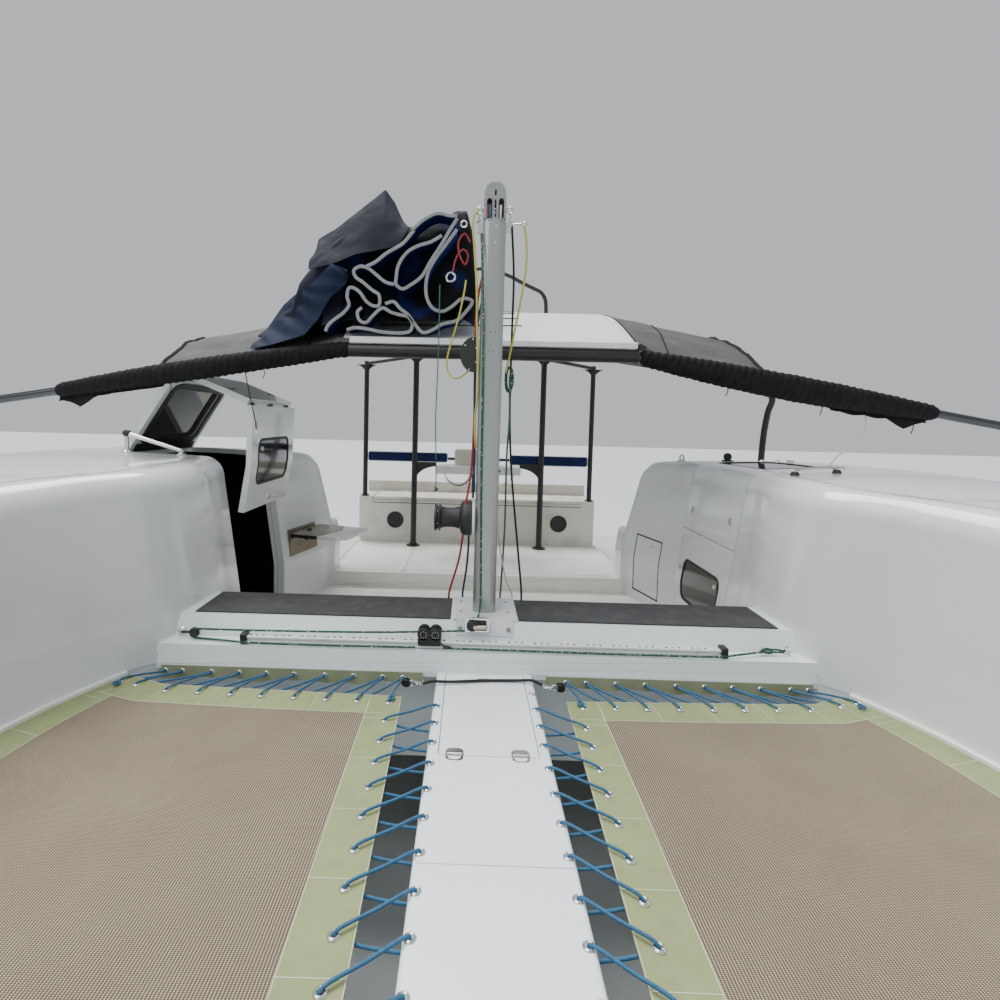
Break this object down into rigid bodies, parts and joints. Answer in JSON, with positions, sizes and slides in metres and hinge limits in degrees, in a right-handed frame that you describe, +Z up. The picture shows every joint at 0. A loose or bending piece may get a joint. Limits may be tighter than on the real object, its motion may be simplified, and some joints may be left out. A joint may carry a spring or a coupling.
{
  "type": "sailing catamaran",
  "caption": "Open-bridgedeck sailing catamaran afloat, with mast section, laced trampolines, canopy, bundled sail and gull-wing companionway hatches.",
  "frame": {"origin": "on the centreline at the waterline, straight below the mast's centre", "axes": "+X to port, +Y aft along the boat, +Z up"},
  "size_m": [5.4, 9.167, 3.9557],
  "materials": {
    "gelcoat": "glossy gelcoat",
    "deck_paint": "satin gelcoat",
    "white_plastic": "smooth",
    "painted_plate": "white coated",
    "nonskid": "matt grit",
    "tinted_glass": "smoked",
    "stainless": "polished",
    "anodised": "clear anodised",
    "black_metal": "black coated",
    "motor_paint": "dark grey paint",
    "net_mesh": "open woven mesh",
    "black_cover": "wrapped padded cover",
    "canopy_cloth": "coated cloth",
    "sail_cloth": "folded sailcloth",
    "blue_cloth": "woven acrylic",
    "yellow_line": "braided rope"
  },
  "bodies": {
    "root": {"hull_port": "gelcoat", "hull_starboard": "gelcoat", "deck_port": "gelcoat", "deck_starboard": "gelcoat", "side_window_port": "tinted_glass", "side_window_starboard": "tinted_glass", "board_bracket": "stainless", "bridge_deck": "deck_paint", "mast_beam": "gelcoat", "nonskid_port": "nonskid", "nonskid_starboard": "nonskid", "spine": "gelcoat", "bow_beam": "anodised", "trampoline_port": "net_mesh", "trampoline_starboard": "net_mesh", "mast_step": "painted_plate", "mast": "anodised", "mast_head": "anodised", "winch_base": "black_metal", "traveller_track": "anodised", "canopy_hoop": "stainless", "sleeve_port": "black_cover", "sleeve_starboard": "black_cover", "canopy_roof": "canopy_cloth", "aft_frame": "black_metal", "sail_bundle": "sail_cloth", "rope_loop": "yellow_line", "bench": "deck_paint", "backrest_port": "blue_cloth", "backrest_starboard": "blue_cloth", "helm_tray": "white_plastic", "outboard_bracket": "anodised"},
    "hatch_port": {"hatch_port": "gelcoat", "hatch_glass_port": "tinted_glass"},
    "hatch_starboard": {"hatch_starboard": "gelcoat", "hatch_glass_starboard": "tinted_glass"},
    "door_port": {"door_port": "gelcoat", "door_glass_port": "tinted_glass"},
    "door_starboard": {"door_starboard": "gelcoat", "door_glass_starboard": "tinted_glass"},
    "locker_door": {"locker_door": "gelcoat"},
    "folding_board": {"folding_board": "white_plastic"},
    "spine_lid": {"spine_lid": "gelcoat"},
    "bench_lid": {"bench_lid": "deck_paint"},
    "winch_drum": {"winch_drum": "black_metal"},
    "traveller_car": {"traveller_car": "black_metal"},
    "rudder_port": {"rudder_port": "gelcoat"},
    "rudder_starboard": {"rudder_starboard": "gelcoat"},
    "tie_bar": {"tie_bar": "stainless"},
    "outboard_motor": {"outboard_motor": "motor_paint"},
    "propeller": {"propeller": "black_metal"}
  },
  "joints": [
    {"name": "hatch_port_hinge", "type": "hinge", "parent": "root", "child": "hatch_port", "pos_m": [1.833, 0.82, 1.63], "axis": [0, 1, 0], "range_deg": [0, 65]},
    {"name": "hatch_starboard_hinge", "type": "hinge", "parent": "root", "child": "hatch_starboard", "pos_m": [-1.833, 0.82, 1.63], "axis": [0, -1, 0], "range_deg": [-60, 5]},
    {"name": "door_port_hinge", "type": "hinge", "parent": "hatch_port", "child": "door_port", "pos_m": [1.29489, 0.82, 1.205], "axis": [0, -1, 0], "range_deg": [0, 80]},
    {"name": "door_starboard_hinge", "type": "hinge", "parent": "hatch_starboard", "child": "door_starboard", "pos_m": [-1.19589, 0.82, 1.88352], "axis": [0, 1, 0], "range_deg": [-69.5, 15]},
    {"name": "locker_door_hinge", "type": "hinge", "parent": "root", "child": "locker_door", "pos_m": [1.07826, 1.59889, 0.87], "axis": [0, 0, -1], "range_deg": [0, 100]},
    {"name": "folding_board_hinge", "type": "hinge", "parent": "root", "child": "folding_board", "pos_m": [-1.16332, 1.38065, 1.04708], "axis": [0.2595, 0.9657, 0], "range_deg": [0, 85]},
    {"name": "spine_lid_hinge", "type": "hinge", "parent": "root", "child": "spine_lid", "pos_m": [0, -0.264, 0.9], "axis": [-1, 0, 0], "range_deg": [0, 95]},
    {"name": "bench_lid_hinge", "type": "hinge", "parent": "root", "child": "bench_lid", "pos_m": [0, 3.13, 1.11], "axis": [-1, 0, 0], "range_deg": [0, 90]},
    {"name": "winch_spin", "type": "hinge", "parent": "root", "child": "winch_drum", "pos_m": [-0.16, 0, 1.432], "axis": [1, 0, 0], "continuous": true},
    {"name": "traveller_slide", "type": "slide", "parent": "root", "child": "traveller_car", "axis": [1, 0, 0], "range_m": [-0.63, 1.03]},
    {"name": "rudder_port_swing", "type": "hinge", "parent": "root", "child": "rudder_port", "pos_m": [1.95, 4.735, 0.2], "axis": [0, 0, 1], "range_deg": [-35, 35]},
    {"name": "rudder_starboard_swing", "type": "hinge", "parent": "root", "child": "rudder_starboard", "pos_m": [-1.95, 4.735, 0.2], "axis": [0, 0, 1], "range_deg": [-35, 35]},
    {"name": "tie_bar_pin", "type": "hinge", "parent": "rudder_port", "child": "tie_bar", "pos_m": [1.95, 4.48, 0.375], "axis": [0, 0, 1], "range_deg": [-35, 35]},
    {"name": "outboard_tilt", "type": "hinge", "parent": "root", "child": "outboard_motor", "pos_m": [0, 3.59, 0.73], "axis": [1, 0, 0], "range_deg": [0, 50]},
    {"name": "propeller_spin", "type": "hinge", "parent": "outboard_motor", "child": "propeller", "pos_m": [0, 3.9, -0.4], "axis": [0, 1, 0], "continuous": true}
  ],
  "couplings": [
    {"joint": "rudder_starboard_swing", "follows": "rudder_port_swing", "ratio": 1},
    {"joint": "tie_bar_pin", "follows": "rudder_port_swing", "ratio": -1}
  ]
}
